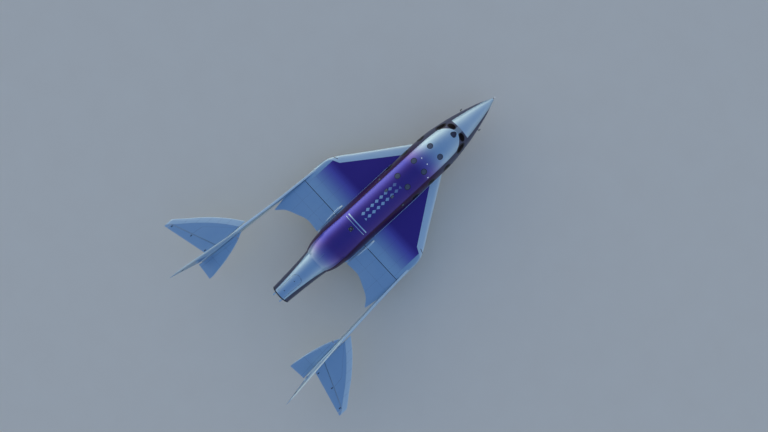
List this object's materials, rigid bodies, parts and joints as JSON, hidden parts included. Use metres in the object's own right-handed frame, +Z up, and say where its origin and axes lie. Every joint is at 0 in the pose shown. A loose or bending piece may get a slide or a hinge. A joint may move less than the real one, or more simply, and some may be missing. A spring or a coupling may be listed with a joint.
{
  "type": "suborbital spaceplane with folding tail booms",
  "caption": "Air-launched rocket spaceplane parked on its gear, with a hinged tail boom section, fins, stabilisers and a round cabin.",
  "frame": {"origin": "on the ground below the middle of the aircraft's length, on its centre plane", "axes": "+X to port, +Y aft with the nose towards -Y, +Z up"},
  "size_m": [13.54, 18.4092, 4.65],
  "materials": {
    "white": "gloss white paint with a cool cast",
    "violet": "deep violet metallic paint",
    "dark_gloss": "very dark mirror-like gloss paint",
    "pane": "dark tinted window",
    "bare_metal": "machined metal",
    "dark_metal": "dark heat-resistant finish",
    "tyre": "black rubber",
    "cabin_trim": "matt cabin trim"
  },
  "bodies": {
    "root": {"nose_cone": "white", "nose_probe": "white", "cockpit_section": "white", "window_centre": "pane", "window_front_l": "pane", "window_front_r": "pane", "window_side_l": "pane", "window_side_r": "pane", "crew_hatch": "dark_gloss", "cabin_section": "violet", "aft_section": "violet", "pressure_bulkhead": "cabin_trim", "cabin_floor": "cabin_trim", "instrument_panel": "dark_metal", "tail_cone": "white", "tail_ring": "dark_metal", "nozzle": "dark_metal", "motor": "bare_metal", "carry_pad_front_l": "bare_metal", "carry_pad_front_r": "bare_metal", "carry_pad_rear": "bare_metal", "skid_leg": "bare_metal", "nose_skid": "dark_metal", "leading_edge_l": "white", "leading_edge_r": "white", "wing_l": "violet", "wing_r": "violet", "hinge_fairing_l": "white", "hinge_fairing_r": "white", "tip_fairing_l": "white", "tip_fairing_r": "white", "gear_leg_l": "bare_metal", "gear_leg_r": "bare_metal", "gear_door_l": "white", "gear_door_r": "white", "vent_stub_l": "white", "vent_stub_r": "white"},
    "feather": {"flap_l": "violet", "boom_l": "white", "fin_l": "white", "ventral_fin_l": "white", "flap_r": "violet", "boom_r": "white", "fin_r": "white", "ventral_fin_r": "white"},
    "stabiliser_l": {"stabiliser_shaft_l": "bare_metal", "stabiliser_out_l": "white", "stabiliser_in_l": "white"},
    "stabiliser_r": {"stabiliser_shaft_r": "bare_metal", "stabiliser_out_r": "white", "stabiliser_in_r": "white"},
    "elevon_l": {"elevon_l": "white"},
    "elevon_r": {"elevon_r": "white"},
    "rudder_l": {"rudder_l": "white"},
    "rudder_r": {"rudder_r": "white"},
    "wheel_l": {"wheel_l": "bare_metal", "tyre_l": "tyre"},
    "wheel_r": {"wheel_r": "bare_metal", "tyre_r": "tyre"}
  },
  "joints": [
    {"name": "feather", "type": "hinge", "parent": "root", "child": "feather", "pos_m": [0, 1.45539, 1.745], "axis": [1, 0, 0], "range_deg": [0, 65]},
    {"name": "stabiliser_trim_l", "type": "hinge", "parent": "feather", "child": "stabiliser_l", "pos_m": [3.96077, 6.01904, 2.35], "axis": [0.9986, -0.0527, 0], "range_deg": [-10, 10]},
    {"name": "elevon_l", "type": "hinge", "parent": "stabiliser_l", "child": "elevon_l", "pos_m": [4.25, 7.16539, 2.35], "axis": [0.9277, 0.3734, 0], "range_deg": [-20, 20]},
    {"name": "rudder_l", "type": "hinge", "parent": "feather", "child": "rudder_l", "pos_m": [4.05718, 7.8465, 3.05], "axis": [0.03, 0.5679, 0.8225], "range_deg": [-20, 20]},
    {"name": "wheel_l", "type": "hinge", "parent": "root", "child": "wheel_l", "pos_m": [1.5, 0.92539, 0.3], "axis": [1, 0, 0], "continuous": true},
    {"name": "stabiliser_trim_r", "type": "hinge", "parent": "feather", "child": "stabiliser_r", "pos_m": [-3.96077, 6.01904, 2.35], "axis": [0.9986, 0.0527, 0], "range_deg": [-10, 10]},
    {"name": "elevon_r", "type": "hinge", "parent": "stabiliser_r", "child": "elevon_r", "pos_m": [-4.25, 7.16539, 2.35], "axis": [0.9277, -0.3734, 0], "range_deg": [-20, 20]},
    {"name": "rudder_r", "type": "hinge", "parent": "feather", "child": "rudder_r", "pos_m": [-4.05718, 7.8465, 3.05], "axis": [-0.03, 0.5679, 0.8225], "range_deg": [-20, 20]},
    {"name": "wheel_r", "type": "hinge", "parent": "root", "child": "wheel_r", "pos_m": [-1.5, 0.92539, 0.3], "axis": [1, 0, 0], "continuous": true}
  ]
}
